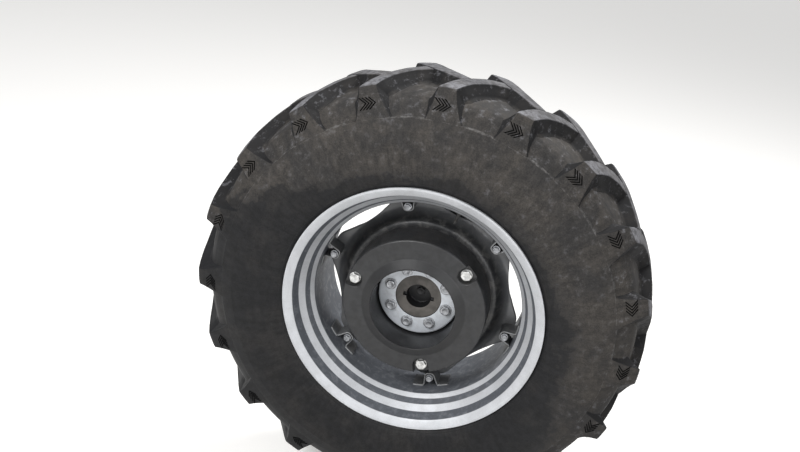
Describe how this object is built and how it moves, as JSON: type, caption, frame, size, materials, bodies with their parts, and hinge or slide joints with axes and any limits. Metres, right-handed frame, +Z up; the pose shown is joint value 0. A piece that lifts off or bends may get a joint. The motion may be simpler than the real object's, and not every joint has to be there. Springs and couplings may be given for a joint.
{
  "type": "tractor rear wheel on its axle end",
  "caption": "Large lugged tractor rear wheel with dished disc, welded loops and cast ring weight, turning on the outer end of its axle housing.",
  "frame": {"origin": "centre of the axle housing's mounting face, on the axis of the wheel", "axes": "+X forwards, +Y inwards to the tractor's middle along the axle, +Z up"},
  "size_m": [1.4358, 0.6495, 1.4312],
  "materials": {
    "housing": "satin, dusty",
    "bolt": "zinc plated",
    "shaft": "matte",
    "disc_paint": "satin silver",
    "weight": "matte",
    "rim_paint": "satin silver",
    "tyre": "dusty rubber",
    "valve": "matte"
  },
  "bodies": {
    "axle_housing": {"axle_housing": "housing", "seal_retainer": "housing", "retainer_bolts": "bolt", "level_plug": "bolt"},
    "wheel": {"axle_shaft": "shaft", "axle_end_bolt": "bolt", "wheel_disc": "disc_paint", "hub_bolts": "bolt", "wheel_weight": "weight", "weight_bolts": "bolt", "rim": "rim_paint", "rim_loops": "rim_paint", "rim_bolts": "bolt", "rim_nuts": "bolt", "tyre": "tyre", "valve_stem": "valve"}
  },
  "joints": [
    {"name": "wheel_spin", "type": "hinge", "parent": "axle_housing", "child": "wheel", "pos_m": [0, 0, 0], "axis": [0, 1, 0], "continuous": true}
  ]
}
